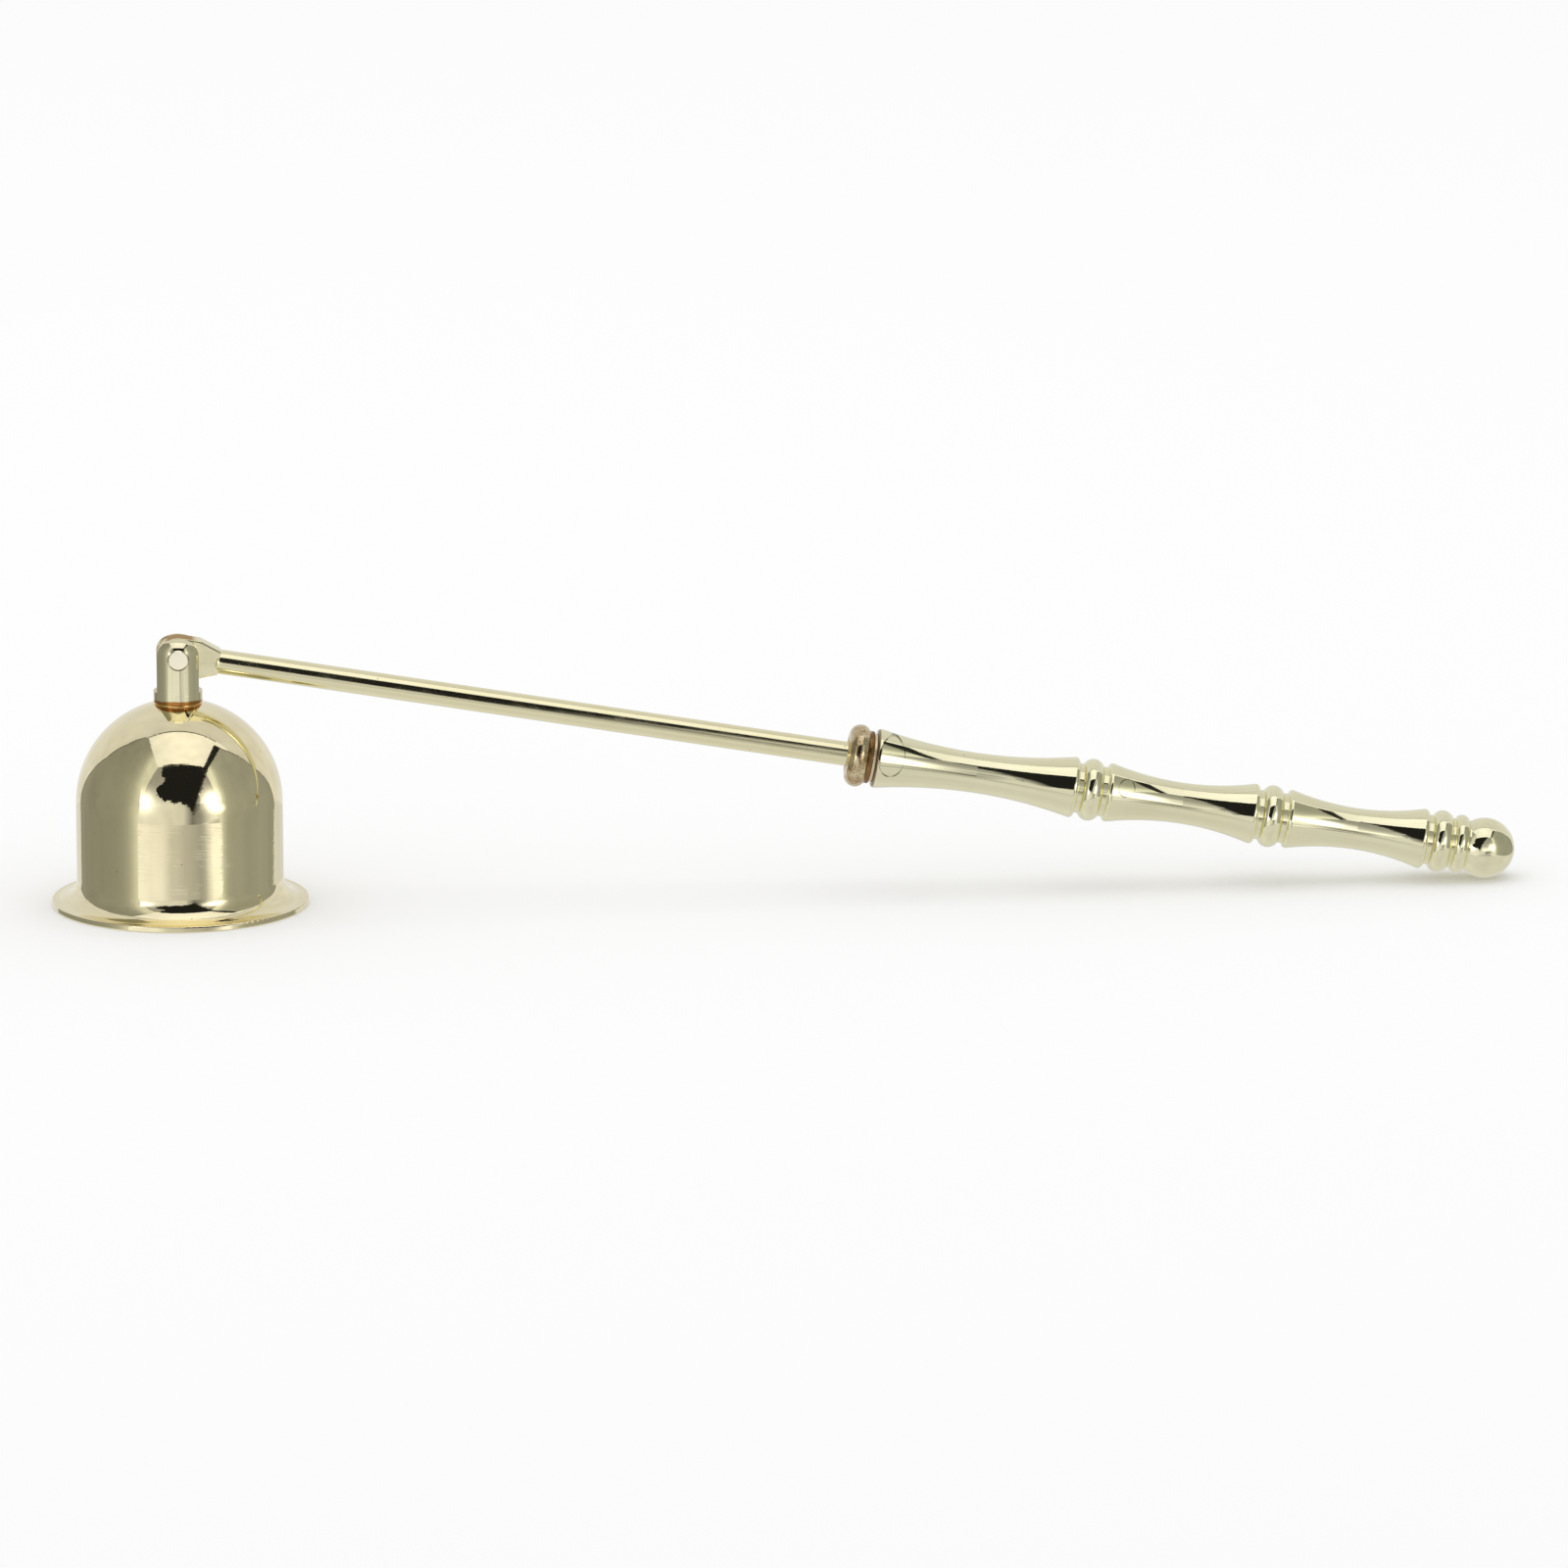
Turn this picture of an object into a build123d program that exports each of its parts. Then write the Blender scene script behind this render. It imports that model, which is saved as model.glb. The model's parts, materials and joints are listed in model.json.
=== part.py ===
from build123d import *
import os
from math import asin, cos, degrees, sqrt

# Candle snuffer, in millimetres. A thin metal bell stands on its flared lip. A slotted knuckle
# screwed to its crown holds the flattened eye of a long rod on a cross pin. A beaded collar and
# a cast handle of three waisted lengths close the far end of the rod.
# +X runs out along the handle, +Y is the pin's axis and +Z is up. The origin is on the table,
# under the middle of the whole object's length and width.

# Bell: a straight wall under a half-round dome, with a small flat crown and a flared lip.
body_d = 33.8
lip_out = 4.1
wall = 1.0
lip_flat = 0.6
rim_round = 0.2
dome_mid_z = 17.1
crown_flat_d = 8.2

# Seat washer between the crown and the knuckle.
washer_d = 7.8
washer_t = 0.5
washer_round = 0.2

# Knuckle: a round post with a domed top, slotted from above for the rod's eye.
knuckle_d = 8.0
knuckle_top_round = 2.8
pivot_above_foot = 7.55
knuckle_above_pivot = 3.3
slot_below_pivot = 5.8
slot_w = 3.6
slot_edge_round = 0.25

# Screw from inside the bell, through crown and washer, into the knuckle's foot.
screw_d = 3.0
screw_gap = 0.05
screw_head_d = 5.6
screw_head_h = 1.9
screw_head_round = 0.9
screw_slot_w = 0.8
screw_slot_depth = 0.9
screw_tip_chamfer = 0.3

# Pivot pin, driven through both cheeks, with flat ends.
pin_d = 3.3
pin_drive_gap = 0.01
pin_run_gap = 0.05
pin_len = 7.9
pin_chamfer = 0.12

# Rod: round stock, flattened to an eye at one end, its tail fixed inside the handle.
rod_d = 4.0
tang_side_gap = 0.2
eye_r = 3.25
tang_straight = 3.3
tang_len = 6.8
tang_corner_round = 2.2
tang_edge_round = 0.35
shoulder_at = 5.9
shoulder_round = 1.2
tail_len = 14.0
tail_chamfer = 0.3
braze_gap = 0.05

# Collar: a fat bead, a narrow neck behind it and a short spigot that meets the handle.
bead_before_handle = 2.65
collar_bead_top_r = 5.13
collar_bead_round = 1.75
neck_r = 4.3
neck_round = 0.2
spigot_r = 3.9
spigot_len = 0.4

# Handle: three waisted lengths with a bead between each, then two beads and a ball.
handle_at = 115.35
segment_lens = (33.7, 25.2, 23.5)
segment_waist_rs = (3.3, 3.36, 3.4)
segment_start_r = 5.03
segment_end_r = 5.16
waist_share = 0.5
segment_round = 0.7
divider_len = 4.8
groove_r = 4.1
bead_top_r = 5.12
bead_round = 1.85
small_bead_step = 3.2
small_bead_top_r = 4.85
small_bead_round = 1.3
ball_step = 4.25
ball_r = 4.95

# Length by which a cutting shape runs past the surface it opens.
overrun = 1.0

# Values that follow from the sizes above.
body_r = body_d / 2
lip_r = body_r + lip_out
crown_r = crown_flat_d / 2
crown_z = dome_mid_z + sqrt(body_r ** 2 - crown_r ** 2)
flare_r = lip_out - lip_flat
flare_top_z = wall + flare_r
foot_z = crown_z + washer_t
pivot_z = foot_z + pivot_above_foot
knuckle_top_z = pivot_z + knuckle_above_pivot
slot_floor_z = pivot_z - slot_below_pivot
screw_hole_r = screw_d / 2 + screw_gap
tang_t = slot_w - 2 * tang_side_gap
collar_bead_at = handle_at - bead_before_handle
segment_pitches = [length + divider_len for length in segment_lens]
segment_starts = [handle_at + sum(segment_pitches[:index]) for index in range(len(segment_lens))]
segment_ends = [start + length for start, length in zip(segment_starts, segment_lens)]
bead_stations = [end + divider_len / 2 for end in segment_ends]
small_bead_at = bead_stations[-1] + small_bead_step
ball_at = small_bead_at + ball_step

# The ball rests on the table, so the rod slopes down from the pin to it.
rest_drop = degrees(asin((pivot_z - ball_r) / ball_at))
reach = ball_at * cos(asin((pivot_z - ball_r) / ball_at))
bell_x = (lip_r - reach - ball_r) / 2


def make_bell():
    """Thin shell of revolution: crown, dome, straight wall, concave flare and rounded rim."""
    inner_r = body_r - wall
    inner_crown_z = crown_z - wall
    inner_crown_r = sqrt(inner_r ** 2 - (inner_crown_z - dome_mid_z) ** 2)
    outer_arc = degrees(asin((crown_z - dome_mid_z) / body_r))
    inner_arc = degrees(asin((inner_crown_z - dome_mid_z) / inner_r))
    flare_x = lip_r - lip_flat
    with BuildPart() as shell:
        with BuildSketch(Plane.XZ) as section:
            with BuildLine():
                Line((screw_hole_r, crown_z), (crown_r, crown_z))
                CenterArc((0, dome_mid_z), body_r, 0, outer_arc)
                Line((body_r, dome_mid_z), (body_r, flare_top_z))
                CenterArc((flare_x, flare_top_z), flare_r, 180, 90)
                Line((flare_x, wall), (lip_r, wall))
                Line((lip_r, wall), (lip_r, 0))
                Line((lip_r, 0), (flare_x, 0))
                CenterArc((flare_x, flare_top_z), flare_r + wall, 180, 90)
                Line((inner_r, flare_top_z), (inner_r, dome_mid_z))
                CenterArc((0, dome_mid_z), inner_r, 0, inner_arc)
                Line((inner_crown_r, inner_crown_z), (screw_hole_r, inner_crown_z))
                Line((screw_hole_r, inner_crown_z), (screw_hole_r, crown_z))
            make_face()
            fillet(section.vertices().group_by(Axis.X)[-1], rim_round)
        revolve(axis=Axis.Z)
    return shell.part


def make_seat_washer():
    """Flat ring with rounded outer edges on the crown."""
    ring = Pos(0, 0, crown_z + washer_t / 2) * Cylinder(washer_d / 2, washer_t)
    ring = fillet(ring.edges().filter_by(GeomType.CIRCLE), washer_round)
    return ring - Pos(0, 0, crown_z + washer_t / 2) * Cylinder(screw_hole_r, washer_t + overrun)


def make_knuckle():
    """Domed round post with a slot for the eye, a cross hole and a tapped foot."""
    height = knuckle_top_z - foot_z
    post = Pos(0, 0, foot_z + height / 2) * Cylinder(knuckle_d / 2, height)
    post = fillet(post.edges().group_by(Axis.Z)[-1], knuckle_top_round)
    slot_h = slot_below_pivot + knuckle_above_pivot + overrun
    post -= Pos(0, 0, slot_floor_z + slot_h / 2) * Box(knuckle_d + overrun, slot_w, slot_h)
    cheek_rims = post.faces().filter_by(Axis.Y).edges().group_by(Axis.Z)[1:]
    post = fillet([rim for level in cheek_rims for rim in level], slot_edge_round)
    post -= Pos(0, 0, pivot_z) * Rot(90, 0, 0) * Cylinder(pin_d / 2 + pin_drive_gap, knuckle_d + overrun)
    tapped_h = slot_floor_z - foot_z + overrun
    post -= Pos(0, 0, slot_floor_z - tapped_h / 2) * Cylinder(screw_hole_r, tapped_h + overrun)
    return post


def make_knuckle_screw():
    """Round-headed slotted screw, its head against the inside of the crown."""
    seat_z = crown_z - wall
    head = Pos(0, 0, seat_z - screw_head_h / 2) * Cylinder(screw_head_d / 2, screw_head_h)
    head = fillet(head.edges().group_by(Axis.Z)[0], screw_head_round)
    slot_z = seat_z - screw_head_h + screw_slot_depth / 2
    head -= Pos(0, 0, slot_z) * Box(screw_head_d + overrun, screw_slot_w, screw_slot_depth)
    shank_h = slot_floor_z - seat_z
    shank = Pos(0, 0, seat_z + shank_h / 2) * Cylinder(screw_d / 2, shank_h)
    shank = chamfer(shank.edges().group_by(Axis.Z)[-1], screw_tip_chamfer)
    return head + shank


def make_pivot_pin():
    """Plain cross pin with broken edges."""
    pin = Cylinder(pin_d / 2, pin_len)
    pin = chamfer(pin.edges().filter_by(GeomType.CIRCLE), pin_chamfer)
    return Pos(0, 0, pivot_z) * Rot(90, 0, 0) * pin


def make_rod():
    """Round bar along X from the pin, with a flat teardrop eye and a plain tail."""
    with BuildPart() as tang:
        with BuildSketch(Plane.XZ) as outline:
            with BuildLine():
                Line((0, eye_r), (tang_straight, eye_r))
                Line((tang_straight, eye_r), (tang_len, rod_d / 2))
                Line((tang_len, rod_d / 2), (tang_len, -rod_d / 2))
                Line((tang_len, -rod_d / 2), (tang_straight, -eye_r))
                Line((tang_straight, -eye_r), (0, -eye_r))
                CenterArc((0, 0), eye_r, 90, 180)
            make_face()
            corners = outline.vertices().filter_by_position(Axis.X, tang_straight, tang_straight)
            fillet(corners, tang_corner_round)
        extrude(amount=tang_t / 2, both=True)
        rims = tang.faces().filter_by(Axis.Y).edges().filter_by_position(Axis.X, -eye_r, tang_straight)
        fillet(rims, tang_edge_round)
    tail_end = handle_at + tail_len - tail_chamfer
    bar_len = tail_end - shoulder_at
    bar = Pos(shoulder_at + bar_len / 2, 0, 0) * Rot(0, 90, 0) * Cylinder(rod_d / 2, bar_len)
    bar = fillet(bar.edges().group_by(Axis.X)[0], shoulder_round)
    bar = chamfer(bar.edges().group_by(Axis.X)[-1], tail_chamfer)
    eye_hole = Rot(90, 0, 0) * Cylinder(pin_d / 2 + pin_run_gap, tang_t + overrun)
    return tang.part + bar - eye_hole


def bead_face(station, top_r, round_r):
    """Round bead in half section, its crest at top_r."""
    return Pos(station, top_r - round_r) * Circle(round_r)


def make_collar():
    """Fat bead, narrow neck and spigot, bored for the rod."""
    neck_len = bead_before_handle - spigot_len
    neck = Pos(collar_bead_at + neck_len / 2, neck_r / 2) * Rectangle(neck_len, neck_r)
    neck_corner = neck.vertices().sort_by(Axis.X)[-2:].sort_by(Axis.Y)[-1]
    neck = fillet(neck_corner, neck_round)
    spigot_mid = collar_bead_at + bead_before_handle / 2
    spigot = Pos(spigot_mid, spigot_r / 2) * Rectangle(bead_before_handle, spigot_r)
    bead = bead_face(collar_bead_at, collar_bead_top_r, collar_bead_round)
    bore_r = rod_d / 2 + braze_gap
    bore = Pos(collar_bead_at, bore_r / 2) * Rectangle(collar_bead_at, bore_r)
    below = Pos(collar_bead_at, -collar_bead_at / 2) * Rectangle(collar_bead_at, collar_bead_at)
    return revolve(neck + spigot + bead - bore - below, Axis.X)


def segment_face(start, end, waist_r):
    """One waisted length in half section: two arcs that meet level at the waist."""
    waist_at = start + (end - start) * waist_share
    outline = [
        Line((start, 0), (start, segment_start_r)),
        TangentArc((waist_at, waist_r), (start, segment_start_r), tangent=(-1, 0)),
        TangentArc((waist_at, waist_r), (end, segment_end_r), tangent=(1, 0)),
        Line((end, segment_end_r), (end, 0)),
        Line((end, 0), (start, 0)),
    ]
    face = make_face(outline)
    return fillet(face.vertices().sort_by(Axis.Y)[-2:], segment_round)


def make_handle():
    """Cast handle: waisted lengths, beads and ball in one piece, bored for the rod's tail."""
    section = Pos(ball_at, 0) * Circle(ball_r)
    for start, end, waist_r in zip(segment_starts, segment_ends, segment_waist_rs):
        section += segment_face(start, end, waist_r)
    for station in bead_stations:
        section += bead_face(station, bead_top_r, bead_round)
        section += Pos(station, groove_r / 2) * Rectangle(divider_len, groove_r)
    section += bead_face(small_bead_at, small_bead_top_r, small_bead_round)
    stem_len = ball_at - bead_stations[-1]
    section += Pos(bead_stations[-1] + stem_len / 2, groove_r / 2) * Rectangle(stem_len, groove_r)
    bore_r = rod_d / 2 + braze_gap
    section -= Pos(handle_at + tail_len / 2, bore_r / 2) * Rectangle(tail_len, bore_r)
    below = Pos(ball_at, -ball_at / 2) * Rectangle(2 * ball_at, ball_at)
    return revolve(section - below, Axis.X)


# The bell group stands upright; the rod group hangs from the pin and slopes to the table.
upright = Pos(bell_x, 0, 0)
sloping = Pos(bell_x, 0, pivot_z) * Rot(0, rest_drop, 0)
pieces = {
    "bell": upright * make_bell(),
    "seat_washer": upright * make_seat_washer(),
    "knuckle": upright * make_knuckle(),
    "knuckle_screw": upright * make_knuckle_screw(),
    "pivot_pin": upright * make_pivot_pin(),
    "rod": sloping * make_rod(),
    "collar": sloping * make_collar(),
    "handle": sloping * make_handle(),
}

os.makedirs("parts", exist_ok=True)
for node, piece in pieces.items():
    piece.label = node
    export_step(piece, f"parts/{node}.step")
print(f"bell axis x {bell_x:.4f}, pin height {pivot_z:.4f}, slope {rest_drop:.3f} degrees")
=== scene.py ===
import bpy
import bmesh
import json
from math import cos, pi, radians, sin
from mathutils import Matrix, Vector, noise


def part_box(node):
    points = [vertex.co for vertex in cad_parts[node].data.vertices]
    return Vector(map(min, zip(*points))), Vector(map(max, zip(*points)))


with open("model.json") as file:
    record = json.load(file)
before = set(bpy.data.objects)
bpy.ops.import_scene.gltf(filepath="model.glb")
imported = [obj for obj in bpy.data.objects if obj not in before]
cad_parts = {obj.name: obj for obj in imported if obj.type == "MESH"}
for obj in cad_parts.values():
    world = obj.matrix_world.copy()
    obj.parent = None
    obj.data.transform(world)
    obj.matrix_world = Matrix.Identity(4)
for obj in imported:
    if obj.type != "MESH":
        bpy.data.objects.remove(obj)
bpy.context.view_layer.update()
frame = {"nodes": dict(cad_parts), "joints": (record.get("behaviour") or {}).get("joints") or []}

nodes = frame["nodes"]

# Bell: a thin brass shell, spun over a former into a half-round dome, a straight wall and a
# flared lip, then buffed and plated. It stands on the lip, and a screw through its crown holds
# it to the knuckle.
mm = 0.001
pivot = Vector(frame["joints"][0]["pos_m"])


def linear(code):
    """sRGB hex colour as linear RGBA."""
    parts = [int(code[i:i + 2], 16) / 255 for i in (1, 3, 5)]
    return [c / 12.92 if c <= 0.04045 else ((c + 0.055) / 1.055) ** 2.4 for c in parts] + [1.0]


def add(tree, kind, sockets=None, **settings):
    """Adds a node with its settings; a socket is given a number, a colour or another socket."""
    made = tree.nodes.new(kind)
    for name, value in settings.items():
        setattr(made, name, value)
    for key, value in (sockets or {}).items():
        if isinstance(value, bpy.types.NodeSocket):
            tree.links.new(value, made.inputs[key])
        else:
            made.inputs[key].default_value = value
    return made


def gilt(name, pale, warm, polish, grain, depth):
    """Bright gold plate on a buffed metal: the pale colour drifts a little, small dark specks show
    where the plate is pitted, smears dull it, and buffing lines of the given grain (their length
    along X, Y and Z) and depth bend the reflections in patches. Real buffing lines are too fine to
    show, so they are drawn some five times as wide."""
    material = bpy.data.materials.new(name)
    material.use_nodes = True
    tree = material.node_tree
    metal = tree.nodes["Principled BSDF"]
    metal.inputs["Metallic"].default_value = 1.0
    drift_size, pit_gap, smear_size = 7 * mm, 1.3 * mm, 4 * mm
    peel_size, peel_depth = 0.9 * mm, 0.0012 * mm
    wave_size, wave_depth = 6 * mm, 0.012 * mm
    place = add(tree, "ShaderNodeTexCoord").outputs["Object"]
    drift = add(tree, "ShaderNodeTexNoise", {"Vector": place, "Scale": 1 / drift_size, "Detail": 3.0})
    plate = add(tree, "ShaderNodeMix", {"Factor": drift.outputs["Fac"], "A": linear(pale),
                                        "B": linear(warm)}, data_type="RGBA")
    cell = add(tree, "ShaderNodeTexVoronoi", {"Vector": place, "Scale": 1 / pit_gap})
    dot = add(tree, "ShaderNodeMapRange", {"Value": cell.outputs["Distance"], "From Min": 0.05,
                                           "From Max": 0.11, "To Min": 1.0, "To Max": 0.0})
    rare = add(tree, "ShaderNodeMath", {0: cell.outputs["Color"], 1: 0.82}, operation="GREATER_THAN")
    speck = add(tree, "ShaderNodeMath", {0: dot.outputs["Result"], 1: rare.outputs["Value"]},
                operation="MULTIPLY")
    pitted = add(tree, "ShaderNodeMix", {"Factor": speck.outputs["Value"], "A": plate.outputs["Result"],
                                         "B": linear("#8A7C58")}, data_type="RGBA")
    tree.links.new(pitted.outputs["Result"], metal.inputs["Base Color"])
    smear = add(tree, "ShaderNodeTexNoise", {"Vector": place, "Scale": 1 / smear_size, "Detail": 4.0})
    along = add(tree, "ShaderNodeMapping", {"Vector": place, "Scale": [1 / length for length in grain]})
    lines = add(tree, "ShaderNodeTexNoise", {"Vector": along.outputs["Vector"], "Scale": 1.0, "Detail": 2.0})
    hair = add(tree, "ShaderNodeMapRange", {"Value": lines.outputs["Fac"], "From Min": 0.45,
                                            "From Max": 0.75})
    patch = add(tree, "ShaderNodeMapRange", {"Value": smear.outputs["Fac"], "From Min": 0.42,
                                             "From Max": 0.62})
    score = add(tree, "ShaderNodeMath", {0: hair.outputs["Result"], 1: patch.outputs["Result"]},
                operation="MULTIPLY")
    dull = add(tree, "ShaderNodeMapRange", {"Value": smear.outputs["Fac"], "From Min": 0.4, "From Max": 0.8,
                                            "To Min": polish, "To Max": 2.2 * polish})
    worn = add(tree, "ShaderNodeMath", {0: score.outputs["Value"], 1: 0.06, 2: dull.outputs["Result"]},
               operation="MULTIPLY_ADD")
    rough = add(tree, "ShaderNodeMath", {0: speck.outputs["Value"], 1: 0.25, 2: worn.outputs["Value"]},
                operation="MULTIPLY_ADD")
    tree.links.new(rough.outputs["Value"], metal.inputs["Roughness"])
    peel = add(tree, "ShaderNodeTexNoise", {"Vector": place, "Scale": 1 / peel_size, "Detail": 2.0})
    skin = add(tree, "ShaderNodeBump", {"Height": peel.outputs["Fac"], "Strength": 1.0,
                                        "Distance": peel_depth})
    wave = add(tree, "ShaderNodeTexNoise", {"Vector": place, "Scale": 1 / wave_size, "Detail": 1.0})
    buffed = add(tree, "ShaderNodeBump", {"Height": wave.outputs["Fac"], "Strength": 1.0,
                                          "Distance": wave_depth, "Normal": skin.outputs["Normal"]})
    scored = add(tree, "ShaderNodeBump", {"Height": score.outputs["Value"], "Strength": 1.0,
                                          "Distance": depth, "Normal": buffed.outputs["Normal"]}, invert=True)
    tree.links.new(scored.outputs["Normal"], metal.inputs["Normal"])
    return material, tree, metal, place, pitted.outputs["Result"]


# Spun and buffed on the lathe, so its lines run round it and comb the edges of what it mirrors. The
# inside is left as it came off the former: satin, yellower and only thinly plated.
bell_plate = gilt("gilt_plated_spun_brass", "#F3EAC7", "#ECDFB5", polish=0.03,
                  grain=(9 * mm, 9 * mm, 0.35 * mm), depth=0.003 * mm)
material, tree, metal, place, colour = bell_plate
dome_middle, inner_face, outer_face = 17.1 * mm, 16.2 * mm, 16.35 * mm
satin_gain = 0.38
split = add(tree, "ShaderNodeSeparateXYZ", {"Vector": place})
across = add(tree, "ShaderNodeMath", {0: split.outputs["X"], 1: pivot.x}, operation="SUBTRACT")
rise = add(tree, "ShaderNodeMath", {0: split.outputs["Z"], 1: dome_middle}, operation="SUBTRACT")
rise = add(tree, "ShaderNodeMath", {0: rise.outputs["Value"], 1: 0.0}, operation="MAXIMUM")
outward = add(tree, "ShaderNodeCombineXYZ", {"X": across.outputs["Value"], "Y": split.outputs["Y"],
                                             "Z": rise.outputs["Value"]})
radius = add(tree, "ShaderNodeVectorMath", {0: outward.outputs["Vector"]}, operation="LENGTH")
inside = add(tree, "ShaderNodeMapRange", {"Value": radius.outputs["Value"], "From Min": inner_face,
                                          "From Max": outer_face, "To Min": 1.0, "To Max": 0.0})
lined = add(tree, "ShaderNodeMix", {"Factor": inside.outputs["Result"], "A": colour, "B": linear("#DCC78C")},
            data_type="RGBA")
tree.links.new(lined.outputs["Result"], metal.inputs["Base Color"])
polished = metal.inputs["Roughness"].links[0].from_socket
satin = add(tree, "ShaderNodeMath", {0: inside.outputs["Result"], 1: satin_gain, 2: polished},
            operation="MULTIPLY_ADD")
tree.links.new(satin.outputs["Value"], metal.inputs["Roughness"])
nodes["bell"].material_slots[0].material = material

# Seat washer: a plain brass ring pinched between crown and knuckle. Heat and flux have turned it
# orange-brown, with darker blotches and only a low shine left.
blotch_size, grit_size, grit_depth = 1.6 * mm, 0.3 * mm, 0.012 * mm
seat = bpy.data.materials.new("brass_ring_heat_tarnished")
seat.use_nodes = True
tree = seat.node_tree
metal = tree.nodes["Principled BSDF"]
metal.inputs["Metallic"].default_value = 1.0
place = add(tree, "ShaderNodeTexCoord").outputs["Object"]
blotch = add(tree, "ShaderNodeTexNoise", {"Vector": place, "Scale": 1 / blotch_size, "Detail": 5.0})
edge = add(tree, "ShaderNodeMapRange", {"Value": blotch.outputs["Fac"], "From Min": 0.35, "From Max": 0.65})
stain = add(tree, "ShaderNodeMix", {"Factor": edge.outputs["Result"], "A": linear("#F8D092"),
                                    "B": linear("#D2A060")}, data_type="RGBA")
tree.links.new(stain.outputs["Result"], metal.inputs["Base Color"])
matt = add(tree, "ShaderNodeMapRange", {"Value": blotch.outputs["Fac"], "To Min": 0.15, "To Max": 0.35})
tree.links.new(matt.outputs["Result"], metal.inputs["Roughness"])
grit = add(tree, "ShaderNodeTexNoise", {"Vector": place, "Scale": 1 / grit_size, "Detail": 3.0})
crust = add(tree, "ShaderNodeBump", {"Height": grit.outputs["Fac"], "Strength": 1.0, "Distance": grit_depth})
tree.links.new(crust.outputs["Normal"], metal.inputs["Normal"])
nodes["seat_washer"].material_slots[0].material = seat

# Knuckle: a turned brass post with a domed top, slotted from above by a saw for the rod's eye and
# cross-drilled for the pin. Its foot is tapped and pulled down on the washer by the screw. Flux has
# browned the foot, most at the front, and a dark line shows round the pin.
knuckle_plate = gilt("gilt_plated_turned_brass", "#F2ECCB", "#EADFBA", polish=0.03,
                     grain=(9 * mm, 9 * mm, 0.3 * mm), depth=0.0012 * mm)
material, tree, metal, place, colour = knuckle_plate
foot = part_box("knuckle")[0][2]
flux_size, flux_ragged, flux_lean = 1.2 * mm, 0.35 * mm, 0.09
slot_face, slot_fade = 1.85 * mm, 2.1 * mm
seam_from, seam_to = 1.72 * mm, 1.82 * mm
split = add(tree, "ShaderNodeSeparateXYZ", {"Vector": place})
ragged = add(tree, "ShaderNodeTexNoise", {"Vector": place, "Scale": 1 / flux_size, "Detail": 4.0})
height = add(tree, "ShaderNodeMath", {0: ragged.outputs["Fac"], 1: -flux_ragged, 2: split.outputs["Z"]},
             operation="MULTIPLY_ADD")
height = add(tree, "ShaderNodeMath", {0: split.outputs["Y"], 1: flux_lean, 2: height.outputs["Value"]},
             operation="MULTIPLY_ADD")
flux = add(tree, "ShaderNodeMapRange", {"Value": height.outputs["Value"], "From Min": foot - 0.04 * mm,
                                        "From Max": foot + 0.18 * mm, "To Min": 1.0, "To Max": 0.0})
browned = add(tree, "ShaderNodeMix", {"Factor": flux.outputs["Result"], "A": colour, "B": linear("#B07A3E")},
              data_type="RGBA")
inward = add(tree, "ShaderNodeMath", {0: split.outputs["Y"]}, operation="ABSOLUTE")
slot = add(tree, "ShaderNodeMapRange", {"Value": inward.outputs["Value"], "From Min": slot_face,
                                        "From Max": slot_fade, "To Min": 0.3, "To Max": 0.0})
sawn = add(tree, "ShaderNodeMix", {"Factor": slot.outputs["Result"], "A": browned.outputs["Result"],
                                   "B": linear("#A87B45")}, data_type="RGBA")
offset = add(tree, "ShaderNodeVectorMath", {0: place, 1: pivot}, operation="SUBTRACT")
flat = add(tree, "ShaderNodeVectorMath", {0: offset.outputs["Vector"], 1: (1.0, 0.0, 1.0)},
           operation="MULTIPLY")
radius = add(tree, "ShaderNodeVectorMath", {0: flat.outputs["Vector"]}, operation="LENGTH")
seam = add(tree, "ShaderNodeMapRange", {"Value": radius.outputs["Value"], "From Min": seam_from,
                                        "From Max": seam_to, "To Min": 0.7, "To Max": 0.0})
ringed = add(tree, "ShaderNodeMix", {"Factor": seam.outputs["Result"], "A": sawn.outputs["Result"],
                                     "B": linear("#5A4426")}, data_type="RGBA")
tree.links.new(ringed.outputs["Result"], metal.inputs["Base Color"])
nodes["knuckle"].material_slots[0].material = material

# Knuckle screw: a plain round-headed brass screw, turned and left unplated, up inside the bell. The
# tool has left fine rings on its head.
ring_gap, age_size, cut_depth = 0.35 * mm, 1.5 * mm, 0.006 * mm
screw = bpy.data.materials.new("turned_brass_unplated")
screw.use_nodes = True
tree = screw.node_tree
metal = tree.nodes["Principled BSDF"]
metal.inputs["Metallic"].default_value = 1.0
place = add(tree, "ShaderNodeTexCoord").outputs["Object"]
centred = add(tree, "ShaderNodeMapping", {"Vector": place, "Location": (-pivot.x, 0.0, 0.0)})
rings = add(tree, "ShaderNodeTexWave", {"Vector": centred.outputs["Vector"], "Scale": 0.2 / ring_gap,
                                        "Distortion": 1.5, "Detail": 2.0, "Detail Scale": 3.0},
            wave_type="RINGS", rings_direction="Z")
aged = add(tree, "ShaderNodeTexNoise", {"Vector": place, "Scale": 1 / age_size, "Detail": 4.0})
tone = add(tree, "ShaderNodeMix", {"Factor": aged.outputs["Fac"], "A": linear("#E2C987"),
                                   "B": linear("#B08F4E")}, data_type="RGBA")
tree.links.new(tone.outputs["Result"], metal.inputs["Base Color"])
matt = add(tree, "ShaderNodeMapRange", {"Value": aged.outputs["Fac"], "To Min": 0.16, "To Max": 0.38})
tree.links.new(matt.outputs["Result"], metal.inputs["Roughness"])
cut = add(tree, "ShaderNodeBump", {"Height": rings.outputs["Fac"], "Strength": 1.0, "Distance": cut_depth})
tree.links.new(cut.outputs["Normal"], metal.inputs["Normal"])
nodes["knuckle_screw"].material_slots[0].material = screw

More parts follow.
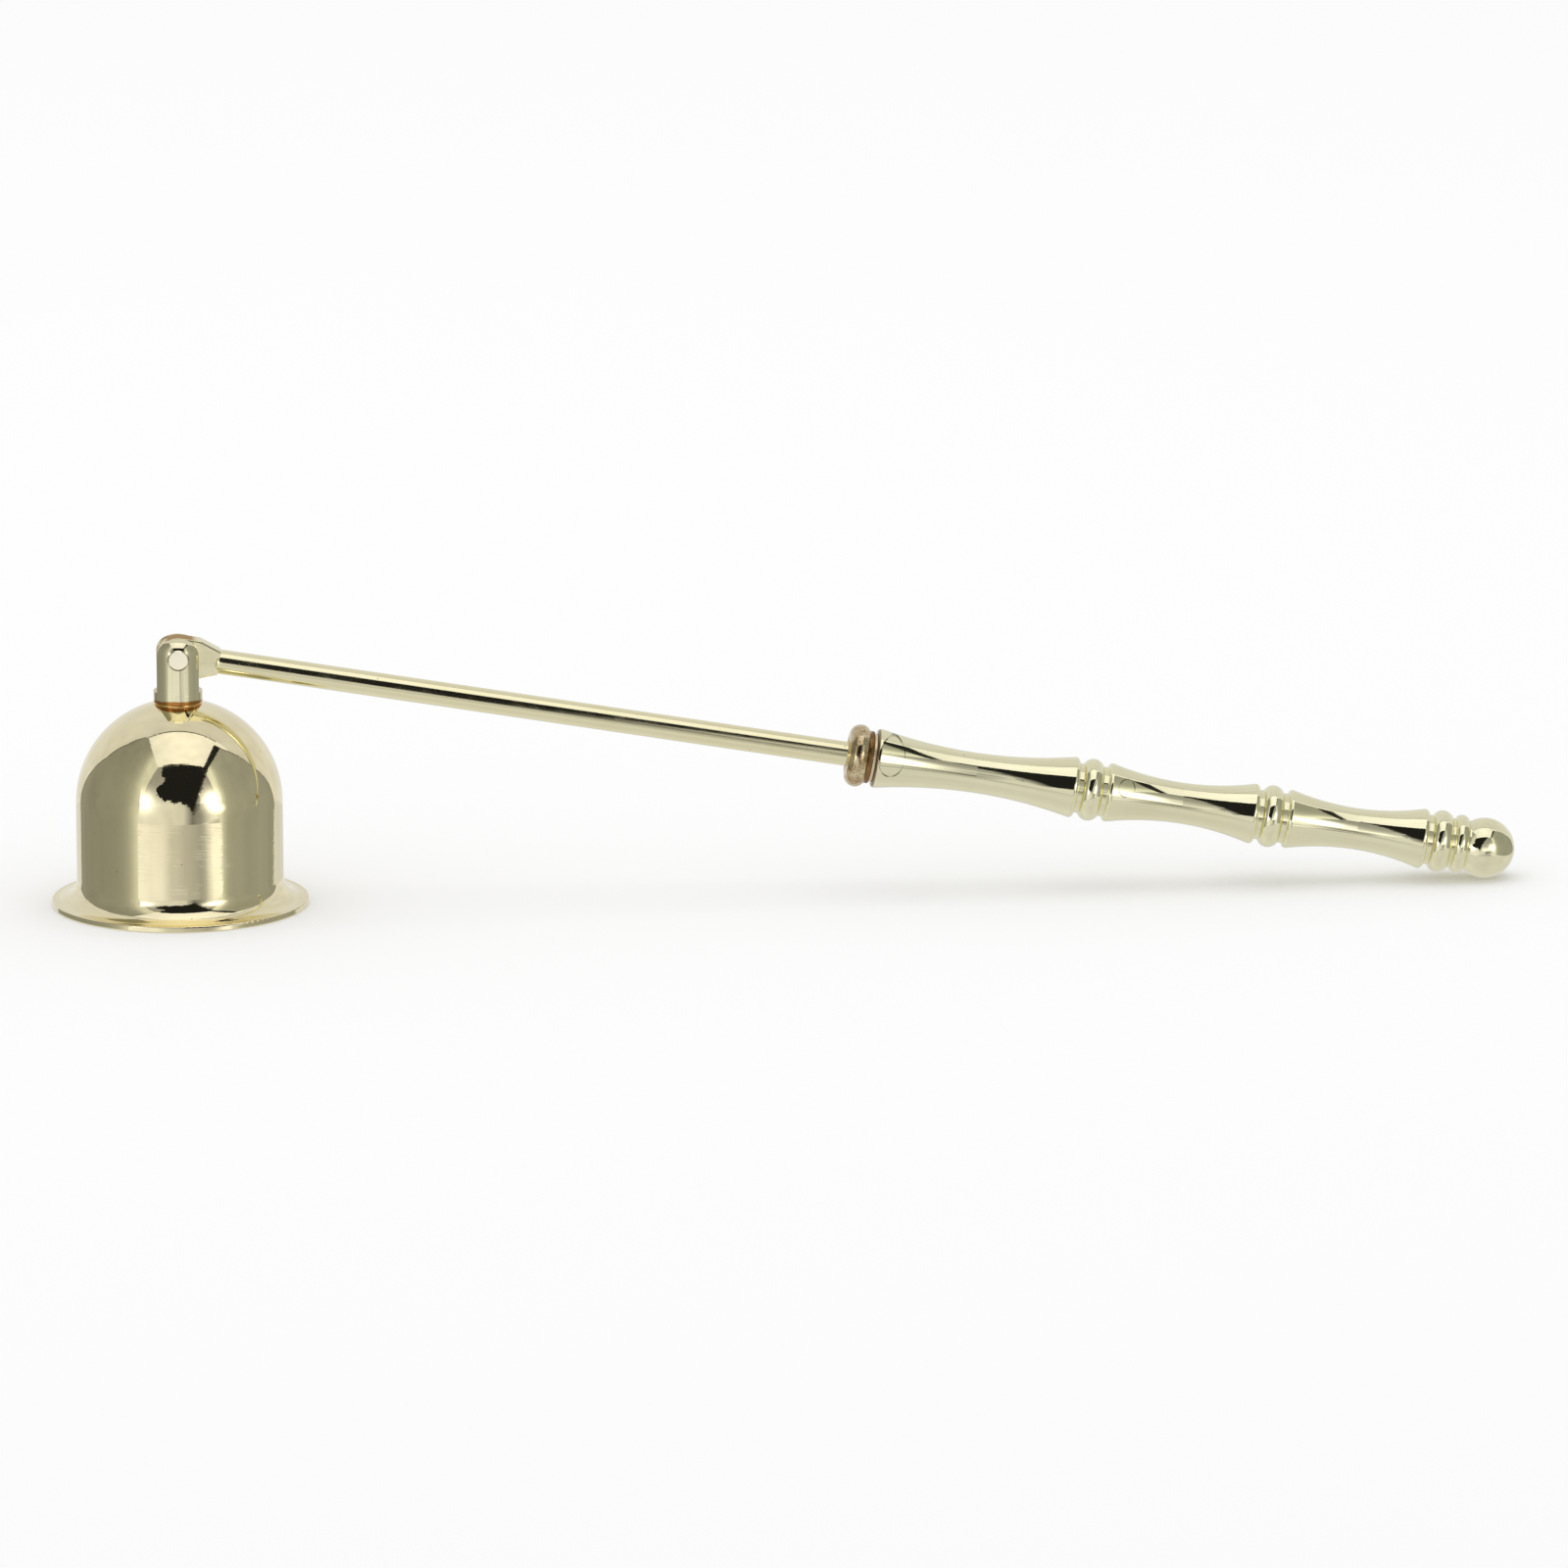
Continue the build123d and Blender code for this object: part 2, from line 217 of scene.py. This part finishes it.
# Pivot pin: a short hard pin driven through both cheeks, dressed flush and plated. Its flat ends were
# filed one way, which leaves short straight lines.
pin_plate = gilt("gilt_plated_steel_pin", "#FDF8E0", "#F6EFD2", polish=0.04,
                 grain=(3 * mm, 3 * mm, 0.2 * mm), depth=0.001 * mm)
nodes["pivot_pin"].material_slots[0].material = pin_plate[0]

# Rod: drawn round bar, one end hammered flat to a teardrop eye and drilled, the other brazed into
# collar and handle. Drawing leaves lines along it, and heat has left a matt brown oxide film on top
# of the eye.
slope = radians(9.700)
eye_middle, eye_half, eye_fade = -0.1 * mm, 1.9 * mm, 2.9 * mm
rim_half, rim_fade = 1.4 * mm, 1.57 * mm
bar_plate = gilt("gilt_plated_drawn_bar", "#F4EECB", "#ECE3B8", polish=0.09,
                 grain=(16 * mm, 0.3 * mm, 0.3 * mm), depth=0.0015 * mm)
material, tree, metal, place, colour = bar_plate
from_pin = add(tree, "ShaderNodeMapping", {"Vector": place, "Location": pivot, "Rotation": (0.0, slope, 0.0)},
               vector_type="TEXTURE")
split = add(tree, "ShaderNodeSeparateXYZ", {"Vector": from_pin.outputs["Vector"]})
apart = add(tree, "ShaderNodeMath", {0: split.outputs["X"], 1: eye_middle}, operation="SUBTRACT")
apart = add(tree, "ShaderNodeMath", {0: apart.outputs["Value"]}, operation="ABSOLUTE")
eye = add(tree, "ShaderNodeMapRange", {"Value": apart.outputs["Value"], "From Min": eye_half,
                                       "From Max": eye_fade, "To Min": 0.85, "To Max": 0.0})
inward = add(tree, "ShaderNodeMath", {0: split.outputs["Y"]}, operation="ABSOLUTE")
rim = add(tree, "ShaderNodeMapRange", {"Value": inward.outputs["Value"], "From Min": rim_half,
                                       "From Max": rim_fade, "To Min": 1.0, "To Max": 0.0})
heated = add(tree, "ShaderNodeMath", {0: eye.outputs["Result"], 1: rim.outputs["Result"]},
             operation="MULTIPLY")
stained = add(tree, "ShaderNodeMix", {"Factor": heated.outputs["Value"], "A": colour, "B": linear("#8C6630")},
              data_type="RGBA")
tree.links.new(stained.outputs["Result"], metal.inputs["Base Color"])
bare = add(tree, "ShaderNodeMath", {0: 1.0, 1: heated.outputs["Value"]}, operation="SUBTRACT")
tree.links.new(bare.outputs["Value"], metal.inputs["Metallic"])
metal.inputs["Specular IOR Level"].default_value = 0.0
nodes["rod"].material_slots[0].material = material

# Collar: a separate cast bead with a narrow neck, slid on the rod and brazed against the handle. The
# plate took badly on its rough skin, so it is speckled grey, and the braze has browned the neck.
cloud_size, grain_size, pore_depth = 2.2 * mm, 0.35 * mm, 0.006 * mm
collar_skin = bpy.data.materials.new("cast_brass_tarnished")
collar_skin.use_nodes = True
tree = collar_skin.node_tree
metal = tree.nodes["Principled BSDF"]
metal.inputs["Metallic"].default_value = 1.0
place = add(tree, "ShaderNodeTexCoord").outputs["Object"]
cloud = add(tree, "ShaderNodeTexNoise", {"Vector": place, "Scale": 1 / cloud_size, "Detail": 5.0})
grain = add(tree, "ShaderNodeTexNoise", {"Vector": place, "Scale": 1 / grain_size, "Detail": 3.0})
patch = add(tree, "ShaderNodeMapRange", {"Value": cloud.outputs["Fac"], "From Min": 0.35, "From Max": 0.68})
grey = add(tree, "ShaderNodeMix", {"Factor": patch.outputs["Result"], "A": linear("#E2D4AE"),
                                   "B": linear("#B0956A")}, data_type="RGBA")
dotted = add(tree, "ShaderNodeMapRange", {"Value": grain.outputs["Fac"], "From Min": 0.52, "From Max": 0.7})
speckled = add(tree, "ShaderNodeMix", {"Factor": dotted.outputs["Result"], "A": grey.outputs["Result"],
                                       "B": linear("#75603F")}, data_type="RGBA")
from_pin = add(tree, "ShaderNodeMapping", {"Vector": place, "Location": pivot, "Rotation": (0.0, slope, 0.0)},
               vector_type="TEXTURE")
split = add(tree, "ShaderNodeSeparateXYZ", {"Vector": from_pin.outputs["Vector"]})
neck_middle, neck_half = 114.55 * mm, 0.4 * mm
apart = add(tree, "ShaderNodeMath", {0: split.outputs["X"], 1: neck_middle}, operation="SUBTRACT")
apart = add(tree, "ShaderNodeMath", {0: apart.outputs["Value"]}, operation="ABSOLUTE")
neck = add(tree, "ShaderNodeMapRange", {"Value": apart.outputs["Value"], "From Min": neck_half - 0.1 * mm,
                                        "From Max": neck_half + 0.1 * mm, "To Min": 0.9, "To Max": 0.0})
braze = add(tree, "ShaderNodeMix", {"Factor": patch.outputs["Result"], "A": linear("#8C6230"),
                                    "B": linear("#644018")}, data_type="RGBA")
burnt = add(tree, "ShaderNodeMix", {"Factor": neck.outputs["Result"], "A": speckled.outputs["Result"],
                                    "B": braze.outputs["Result"]}, data_type="RGBA")
# Past the neck the spigot is drawn pale. Partly this is its clean plate, and partly it is a painted highlight
# for the bright line at the collar's end.
spigot_highlight_mask = add(tree, "ShaderNodeMapRange", {"Value": split.outputs["X"], "From Min": neck_middle + neck_half,
                                          "From Max": neck_middle + neck_half + 0.1 * mm})
plate_and_painted_highlight = add(tree, "ShaderNodeMix", {"Factor": spigot_highlight_mask.outputs["Result"], "A": burnt.outputs["Result"],
                                     "B": linear("#F0E2C4")}, data_type="RGBA")
tree.links.new(plate_and_painted_highlight.outputs["Result"], metal.inputs["Base Color"])
matt = add(tree, "ShaderNodeMapRange", {"Value": cloud.outputs["Fac"], "From Min": 0.3, "From Max": 0.7,
                                        "To Min": 0.1, "To Max": 0.22})
fluxed = add(tree, "ShaderNodeMapRange", {"Value": split.outputs["X"], "From Min": neck_middle - neck_half,
                                          "From Max": neck_middle, "To Min": 0.0, "To Max": 0.4})
rough = add(tree, "ShaderNodeMath", {0: matt.outputs["Result"], 1: fluxed.outputs["Result"]},
            operation="MAXIMUM")
tree.links.new(rough.outputs["Value"], metal.inputs["Roughness"])
pores = add(tree, "ShaderNodeBump", {"Height": grain.outputs["Fac"], "Strength": 1.0, "Distance": pore_depth})
tree.links.new(pores.outputs["Normal"], metal.inputs["Normal"])
nodes["collar"].material_slots[0].material = collar_skin

# Handle: one zinc casting of three waisted lengths, beads and a ball, plated pale gold and bored for
# the rod's tail. Two ejector marks stay on its front, and the braze has browned its first edge.
handle_plate = gilt("gilt_plated_zinc_casting", "#F3EFCE", "#EBE5BE", polish=0.03,
                    grain=(12 * mm, 0.4 * mm, 0.4 * mm), depth=0.001 * mm)
material, tree, metal, place, colour = handle_plate
wear_size, line_half, line_fade = 1.6 * mm, 0.04 * mm, 0.12 * mm
edge_from, edge_to = 115.65 * mm, 115.9 * mm
from_pin = add(tree, "ShaderNodeMapping", {"Vector": place, "Location": pivot, "Rotation": (0.0, slope, 0.0)},
               vector_type="TEXTURE")
split = add(tree, "ShaderNodeSeparateXYZ", {"Vector": from_pin.outputs["Vector"]})
near = add(tree, "ShaderNodeMath", {0: split.outputs["Y"], 1: 0.0}, operation="LESS_THAN")
worn = add(tree, "ShaderNodeTexNoise", {"Vector": place, "Scale": 1 / wear_size, "Detail": 2.0})
kept = add(tree, "ShaderNodeMapRange", {"Value": worn.outputs["Fac"], "From Min": 0.38, "From Max": 0.5,
                                        "To Min": 0.25, "To Max": 0.9})
kept = add(tree, "ShaderNodeMath", {0: kept.outputs["Result"], 1: near.outputs["Value"]},
           operation="MULTIPLY")
for along, above, wide, tall in ((117.9 * mm, 1.33 * mm, 4.3 * mm, 6.3 * mm),
                                 (156.9 * mm, 1.9 * mm, 2.7 * mm, 2.7 * mm)):
    offset = add(tree, "ShaderNodeVectorMath", {0: from_pin.outputs["Vector"], 1: (along, 0.0, above)},
                 operation="SUBTRACT")
    flat = add(tree, "ShaderNodeVectorMath", {0: offset.outputs["Vector"], 1: (1.0, 0.0, wide / tall)},
               operation="MULTIPLY")
    radius = add(tree, "ShaderNodeVectorMath", {0: flat.outputs["Vector"]}, operation="LENGTH")
    apart = add(tree, "ShaderNodeMath", {0: radius.outputs["Value"], 1: wide / 2}, operation="SUBTRACT")
    apart = add(tree, "ShaderNodeMath", {0: apart.outputs["Value"]}, operation="ABSOLUTE")
    line = add(tree, "ShaderNodeMapRange", {"Value": apart.outputs["Value"], "From Min": line_half,
                                            "From Max": line_fade, "To Min": 1.0, "To Max": 0.0})
    mark = add(tree, "ShaderNodeMath", {0: line.outputs["Result"], 1: kept.outputs["Value"]},
               operation="MULTIPLY")
    colour = add(tree, "ShaderNodeMix", {"Factor": mark.outputs["Value"], "A": colour,
                                         "B": linear("#5E5738")}, data_type="RGBA").outputs["Result"]
edge = add(tree, "ShaderNodeMapRange", {"Value": split.outputs["X"], "From Min": edge_from,
                                        "From Max": edge_to, "To Min": 0.85, "To Max": 0.0})
browned = add(tree, "ShaderNodeMix", {"Factor": edge.outputs["Result"], "A": colour, "B": linear("#6E4A24")},
              data_type="RGBA")
tree.links.new(browned.outputs["Result"], metal.inputs["Base Color"])
nodes["handle"].material_slots[0].material = material

# Floor: a plain matt white table top that takes the object's soft shadow. It stays out of the mirror
# finish, which shows the light tent round the object.
floor_mesh = bpy.data.meshes.new("floor")
shape = bmesh.new()
bmesh.ops.create_grid(shape, x_segments=1, y_segments=1, size=4.0)
shape.to_mesh(floor_mesh)
shape.free()
floor = bpy.data.objects.new("floor", floor_mesh)
bpy.context.scene.collection.objects.link(floor)
paper = bpy.data.materials.new("matt_white_table")
paper.use_nodes = True
surface = paper.node_tree.nodes["Principled BSDF"]
surface.inputs["Base Color"].default_value = linear("#FBFBFB")
surface.inputs["Roughness"].default_value = 1.0
surface.inputs["Specular IOR Level"].default_value = 0.0
floor_mesh.materials.append(paper)
floor.visible_glossy = False

# Light tent: a glowing ceiling panel, grey cloth sides and front, a pale sweep behind, a pale table
# below, two soft lamps and the dark gap that the camera looks through. Only the mirror finish sees it.
yaw = radians(-3.362)
turn = Matrix.Rotation(yaw, 4, "Z")
left, right, top, low = -0.85, 0.88, 1.6, -0.3
panel_front, panel_back = -1.2, 0.22
front_foot, apron_top, lit_level = -1.45, 0.28, -0.29
white, cream = "#FFFFFF", "#FDFFF4"


def glow(name, axis, stops, tint=white):
    """Cloth of a tint, lit to the level that each stop gives at its place along an axis of the tent,
    with the faint clouds of soft folds."""
    material = bpy.data.materials.new(name)
    material.use_nodes = True
    tree = material.node_tree
    tree.nodes.clear()
    place = add(tree, "ShaderNodeTexCoord").outputs["Object"]
    split = add(tree, "ShaderNodeSeparateXYZ", {"Vector": place})
    start, end = stops[0][0], stops[-1][0]
    share = add(tree, "ShaderNodeMapRange", {"Value": split.outputs[axis], "From Min": start,
                                             "From Max": end})
    ramp = add(tree, "ShaderNodeValToRGB", {"Fac": share.outputs["Result"]})
    brightest = max(level for along, level in stops)
    marks = ramp.color_ramp.elements
    for along, level in stops[1:-1]:
        marks.new((along - start) / (end - start))
    for mark, (along, level) in zip(marks, stops):
        mark.color = [part * level / brightest for part in linear(tint)[:3]] + [1.0]
    folds = add(tree, "ShaderNodeTexNoise", {"Vector": place, "Scale": 3.0, "Detail": 2.0})
    cloud = add(tree, "ShaderNodeMapRange", {"Value": folds.outputs["Fac"],
                                             "From Min": 0.25, "From Max": 0.75,
                                             "To Min": 0.92 * brightest, "To Max": 1.08 * brightest})
    lit = add(tree, "ShaderNodeEmission", {"Color": ramp.outputs["Color"],
                                           "Strength": cloud.outputs["Result"]})
    add(tree, "ShaderNodeOutputMaterial", {"Surface": lit.outputs["Emission"]})
    material.cycles.emission_sampling = "NONE"
    return material


def hang(name, shape, material, place=Matrix()):
    """Hangs a shape in the tent's axes, seen by reflections alone."""
    mesh = bpy.data.meshes.new(name)
    shape.to_mesh(mesh)
    shape.free()
    mesh.materials.append(material)
    made = bpy.data.objects.new(name, mesh)
    made.matrix_world = turn @ place
    bpy.context.scene.collection.objects.link(made)
    made.visible_camera = False
    made.visible_diffuse = False
    made.visible_shadow = False


def card(corners):
    """One flat card with the given corners."""
    shape = bmesh.new()
    shape.faces.new([shape.verts.new(corner) for corner in corners])
    return shape


hem = glow("dark_hem", "X", ((0.0, 0.1), (1.0, 0.1)))
black_hem = glow("black_hem", "X", ((0.0, 0.02), (1.0, 0.02)))
hang("tent_ceiling",
     card([(left, panel_front, top), (right, panel_front, top), (right, panel_back, top),
           (left, panel_back, top)]),
     glow("lit_ceiling_panel", "X", ((left, 0.96), (-0.27, 1.12), (0.3, 1.15), (right, 0.98))))
hang("ceiling_hem", card([(left, 0.18, 1.59), (right, 0.18, 1.59), (right, panel_back, 1.59),
                          (left, panel_back, 1.59)]), hem)
left_edge = [(0.24, 0.8), (0.34, 0.4), (0.56, 0.13), (0.9, -0.15), (0.95, low)]
hang("tent_left", card([(left, -0.72, low), (left, panel_front, top), (left, panel_back, top)]
                       + [(left, along, up) for along, up in left_edge]),
     glow("grey_cloth_left", "Y", ((-0.72, 0.75), (-0.63, 0.62), (-0.5, 0.45), (-0.4, 0.38), (-0.3, 0.34),
                                   (-0.1, 0.3), (0.3, 0.29), (0.6, 0.31)), cream))
hang("left_hem", card([(left - 0.01, -0.5, low), (left - 0.01, -0.5, top),
                       (left - 0.01, panel_back + 0.03, top)]
                      + [(left - 0.01, along + 0.03, up) for along, up in left_edge]), hem)
right_edge = [(0.0, top), (0.03, 1.2), (0.13, 0.87), (0.33, 0.39), (0.67, 0.05), (0.88, -0.2), (0.9, low)]
hang("tent_right", card([(right, -0.9, low), (right, panel_front, top)]
                        + [(right, along, up) for along, up in right_edge]),
     glow("grey_cloth_right", "Y", ((-0.9, 0.95), (-0.76, 0.6), (-0.64, 0.45), (-0.5, 0.4), (-0.3, 0.37),
                                    (0.5, 0.36), (0.74, 0.33)), cream))
hang("right_hem", card([(right + 0.01, -0.5, low), (right + 0.01, -0.5, top)]
                       + [(right + 0.01, along + 0.03, up) for along, up in right_edge]), hem)
hang("right_top_hem", card([(right - 0.01, -1.15, 1.32), (right - 0.01, -1.15, top), (right - 0.01, 0.0, top),
                            (right - 0.01, 0.02, 1.28)]), black_hem)
hang("tent_back", card([(-2, 1.3, low), (2, 1.3, low), (2, panel_back, top + 0.01),
                        (-2, panel_back, top + 0.01)]),
     glow("pale_back_sweep", "Z", ((low, 0.84), (0.33, 0.78), (0.97, 0.74), (top, 0.72))))
hang("tent_table", card([(-2, -2.5, low), (2, -2.5, low), (2, 1.3, low), (-2, 1.3, low)]),
     glow("pale_table", "X", ((-0.6, 0.78), (-0.2, 0.74), (0.2, 0.72), (0.6, 0.74))))
hang("table_front", card([(-1.3, -0.8, lit_level), (1.3, -0.8, lit_level), (1.3, -1.6, lit_level),
                          (-1.3, -1.6, lit_level)]),
     glow("lit_table_front", "X", ((-1.1, 1.12), (-0.5, 0.95), (-0.32, 0.7), (-0.05, 0.58), (0.2, 0.52),
                                   (0.42, 0.4), (0.52, 0.5), (0.7, 1.25), (0.84, 1.3), (0.93, 0.5),
                                   (1.1, 0.38))))
bell_axis = turn.inverted() @ Vector((pivot.x, 0.0, 0.0))
for name, first, last, stops in (("table_far_left", -58.0, 9.6, ((-1.2, 0.88), (0.13, 0.88))),
                                 ("table_far_right", 10.2, 60.0, ((0.14, 0.48), (0.228, 0.6), (0.5, 0.72),
                                                                  (0.68, 0.85), (0.8, 0.8), (0.93, 0.7),
                                                                  (1.07, 0.65)))):
    shape = bmesh.new()
    outward = Vector((sin(radians(first)), -cos(radians(first)), 0.0))
    ends = [shape.verts.new(bell_axis + outward * reach + Vector((0.0, 0.0, -0.28))) for reach in (1.29, 1.9)]
    bmesh.ops.spin(shape, geom=ends + [shape.edges.new(ends)], cent=bell_axis, axis=(0.0, 0.0, 1.0),
                   angle=radians(last - first), steps=16)
    hang(name, shape, glow("lit_" + name, "X", stops))
hang("apron", card([(-1.9, front_foot, lit_level), (1.9, front_foot, lit_level), (1.9, front_foot, apron_top),
                    (-1.9, front_foot, apron_top)]),
     glow("lit_apron", "X", ((-1.7, 0.9), (-0.6, 0.86), (-0.3, 0.8), (0.06, 0.73), (0.2, 0.4), (0.31, 0.2),
                             (0.43, 0.27), (0.565, 0.33), (0.7, 0.48), (0.86, 0.75), (1.04, 0.98),
                             (1.24, 1.02), (1.48, 0.8), (1.9, 0.4))))
hang("tent_front", card([(-1.8, front_foot, apron_top), (1.8, front_foot, apron_top), (1.8, panel_front, top),
                         (-1.8, panel_front, top)]),
     glow("grey_cloth_front", "Z", ((apron_top, 0.8), (0.42, 0.62), (0.62, 0.46), (0.93, 0.38), (1.4, 0.34))))

# Camera gap: the dark slit in the tent's front that the lens looks through, its cloth edges torn, and
# thin low down on its slanted side. It shows in a first reflection only, since the mirrors beside
# each other would show it twice.
gap_outline = [(-0.245, 0.465), (-0.24, 0.335), (-0.2, 0.255), (-0.245, 0.2), (-0.235, 0.125), (-0.19, 0.095),
               (-0.11, 0.08), (-0.045, 0.075), (-0.025, 0.03), (0.01, 0.012), (0.04, 0.03), (0.045, 0.1),
               (0.12, 0.27), (0.25, 0.47), (-0.05, 0.478)]
gap_front, tear, shreds, tear_seed = -0.33, 0.022, 39, 23
coarse, fine, lean = 25, 110, 0.44
noise.seed_set(tear_seed)
torn = card([(across, gap_front, up) for across, up in gap_outline])
bmesh.ops.subdivide_edges(torn, edges=torn.edges, cuts=shreds)
for point in torn.verts:
    spot = point.co.xz.to_3d()
    shift = (noise.noise_vector(spot * coarse) * 0.6 + noise.noise_vector(spot * fine) * 0.8) * tear
    point.co.xz += shift.xy
gap = bpy.data.materials.new("dark_gap")
gap.use_nodes = True
tree = gap.node_tree
tree.nodes.clear()
ray = add(tree, "ShaderNodeLightPath")
again = add(tree, "ShaderNodeMath", {0: ray.outputs["Ray Depth"], 1: 1.5}, operation="GREATER_THAN")
split = add(tree, "ShaderNodeSeparateXYZ", {"Vector": add(tree, "ShaderNodeTexCoord").outputs["Object"]})
slant = add(tree, "ShaderNodeMath", {0: split.outputs["Z"], 1: -lean, 2: split.outputs["X"]},
            operation="MULTIPLY_ADD")
side = add(tree, "ShaderNodeMapRange", {"Value": slant.outputs["Value"], "From Min": -0.022,
                                        "From Max": 0.008, "To Max": 0.75})
below = add(tree, "ShaderNodeMapRange", {"Value": split.outputs["Z"], "From Min": 0.15, "From Max": 0.3,
                                         "To Min": 1.0, "To Max": 0.0})
side = add(tree, "ShaderNodeMath", {0: side.outputs["Result"], 1: below.outputs["Result"]},
           operation="MULTIPLY")
thin = add(tree, "ShaderNodeMath", {0: side.outputs["Value"], 1: again.outputs["Value"]}, operation="MAXIMUM")
dark = add(tree, "ShaderNodeEmission", {"Strength": 0.015})
clear = add(tree, "ShaderNodeBsdfTransparent")
both = add(tree, "ShaderNodeMixShader", {0: thin.outputs["Value"], 1: dark.outputs["Emission"],
                                         2: clear.outputs["BSDF"]})
add(tree, "ShaderNodeOutputMaterial", {"Surface": both.outputs["Shader"]})
gap.cycles.emission_sampling = "NONE"
hang("camera_gap", torn, gap)

# Tent lamps: two soft round lamps behind the front cloth, one each side of the gap, and a low bounce
# card close in front of the handle that lights the near end of each length.
toward = (-0.05, 0.0, 0.02)
for name, spot, target, reach, core, spread, flat in (
        ("lamp_left", (-0.776, -0.867, 0.214), toward, 0.4, 3.6, 0.5, 1.0),
        ("lamp_right", (0.583, -0.863, 0.242), toward, 0.4, 4.6, 0.4, 1.0),
        ("bounce_card", (0.15, -0.25, 0.028), (0.15, 0.0, 0.028), 0.1, 0.0, 1.3, 0.4)):
    shape = bmesh.new()
    bmesh.ops.create_grid(shape, x_segments=1, y_segments=1, size=reach)
    halo = bpy.data.materials.new(name + "_halo")
    halo.use_nodes = True
    tree = halo.node_tree
    tree.nodes.clear()
    place = add(tree, "ShaderNodeTexCoord").outputs["Object"]
    sized = add(tree, "ShaderNodeMapping", {"Vector": place, "Scale": (1 / reach,) * 3})
    fall = add(tree, "ShaderNodeTexGradient", {"Vector": sized.outputs["Vector"]}, gradient_type="SPHERICAL")
    wide = add(tree, "ShaderNodeMath", {0: fall.outputs["Fac"], 1: spread}, operation="MULTIPLY")
    tight = add(tree, "ShaderNodeMath", {0: fall.outputs["Fac"], 1: 3.5}, operation="POWER")
    power = add(tree, "ShaderNodeMath", {0: tight.outputs["Value"], 1: core, 2: wide.outputs["Value"]},
                operation="MULTIPLY_ADD")
    lit = add(tree, "ShaderNodeEmission", {"Strength": power.outputs["Value"]})
    clear = add(tree, "ShaderNodeBsdfTransparent")
    both = add(tree, "ShaderNodeAddShader", {0: lit.outputs["Emission"], 1: clear.outputs["BSDF"]})
    add(tree, "ShaderNodeOutputMaterial", {"Surface": both.outputs["Shader"]})
    halo.cycles.emission_sampling = "NONE"
    facing = (Vector(target) - Vector(spot)).to_track_quat("Z", "Y").to_matrix().to_4x4()
    hang(name, shape, halo, Matrix.Translation(spot) @ facing @ Matrix.Diagonal((1.0, flat, 1.0, 1.0)))

# Studio light: an even white room, white to the camera, and one wide soft lamp overhead.
world = bpy.data.worlds.new("studio")
bpy.context.scene.world = world
world.use_nodes = True
tree = world.node_tree
tree.nodes.clear()
ray = add(tree, "ShaderNodeLightPath")
seen = add(tree, "ShaderNodeMath", {0: ray.outputs["Is Camera Ray"], 1: ray.outputs["Is Glossy Ray"]},
           operation="MAXIMUM")
seen = add(tree, "ShaderNodeMath", {0: seen.outputs["Value"], 1: ray.outputs["Is Transmission Ray"]},
           operation="MAXIMUM")
level = add(tree, "ShaderNodeMapRange", {"Value": seen.outputs["Value"], "To Min": 0.9, "To Max": 1.0})
sky = add(tree, "ShaderNodeBackground", {"Color": linear(white), "Strength": level.outputs["Result"]})
add(tree, "ShaderNodeOutputWorld", {"Surface": sky.outputs["Background"]})

lamp_data = bpy.data.lights.new("overhead_lamp", "AREA")
lamp_data.shape = "RECTANGLE"
lamp_data.size = 1.6
lamp_data.size_y = 1.2
lamp_data.energy = 4.0
lamp = bpy.data.objects.new("overhead_lamp", lamp_data)
lamp.location = (-0.1, 0.2, 1.6)
lamp.visible_glossy = False
bpy.context.scene.collection.objects.link(lamp)

# Camera: a long lens, turned, raised and tilted as in the photograph.
raised = radians(13.403)
tilt = radians(-0.331)
middle, standoff = (-0.000267, 0, 0.022), (0.000255, -0.003897, 3.207455)
aim = turn @ Matrix.Rotation(pi / 2 - raised, 4, "X") @ Matrix.Rotation(tilt, 4, "Z")
lens = bpy.data.cameras.new("camera")
lens.sensor_width = 36.0
lens.lens = 450.0
camera = bpy.data.objects.new("camera", lens)
camera.matrix_world = Matrix.Translation(middle) @ aim @ Matrix.Translation(standoff)
bpy.context.scene.collection.objects.link(camera)
bpy.context.scene.camera = camera
bpy.context.scene.view_settings.view_transform = "Standard"
